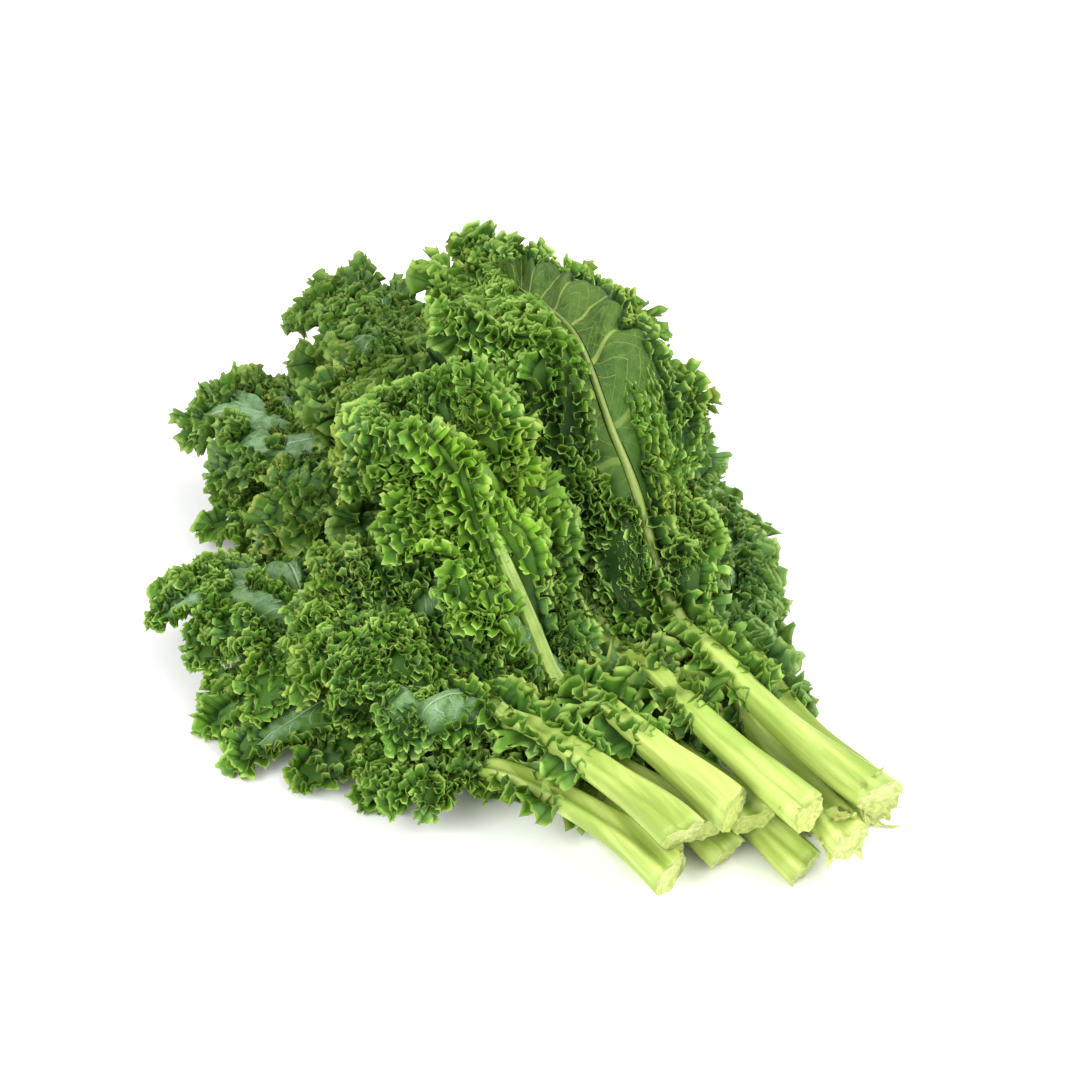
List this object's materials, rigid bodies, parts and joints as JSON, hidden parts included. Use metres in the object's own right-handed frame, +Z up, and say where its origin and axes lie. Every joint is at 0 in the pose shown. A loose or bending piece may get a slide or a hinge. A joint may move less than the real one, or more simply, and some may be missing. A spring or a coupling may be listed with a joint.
{
  "type": "kale bunch",
  "caption": "Bunch of curly kale lying on its side: long leaves with ruffled green blades, pale midribs and bare pale stalks cut off at one end.",
  "frame": {"origin": "on the table, under the middle of the bunch's bounding box", "axes": "+X towards the stalks' cut ends, -X towards the leaves' tips, +Y to the bunch's left seen from the cut ends looking towards the tips, +Z up from the table"},
  "size_m": [0.4445, 0.3, 0.1417],
  "materials": {
    "stalk": "pale yellow-green leaf stalk, smooth and slightly moist",
    "blade": "deep green leaf with a soft waxy sheen"
  },
  "bodies": {
    "root": {"leaf_01_stalk": "stalk", "leaf_01_blade": "blade", "leaf_02_stalk": "stalk", "leaf_02_blade": "blade", "leaf_03_stalk": "stalk", "leaf_03_blade": "blade", "leaf_04_stalk": "stalk", "leaf_04_blade": "blade", "leaf_05_stalk": "stalk", "leaf_05_blade": "blade", "leaf_06_stalk": "stalk", "leaf_06_blade": "blade", "leaf_07_stalk": "stalk", "leaf_07_blade": "blade", "leaf_08_stalk": "stalk", "leaf_08_blade": "blade", "leaf_09_stalk": "stalk", "leaf_09_blade": "blade", "leaf_10_stalk": "stalk", "leaf_10_blade": "blade", "leaf_11_stalk": "stalk", "leaf_11_blade": "blade", "leaf_12_stalk": "stalk", "leaf_12_blade": "blade", "leaf_13_stalk": "stalk", "leaf_13_blade": "blade", "leaf_14_stalk": "stalk", "leaf_14_blade": "blade"}
  },
  "joints": []
}
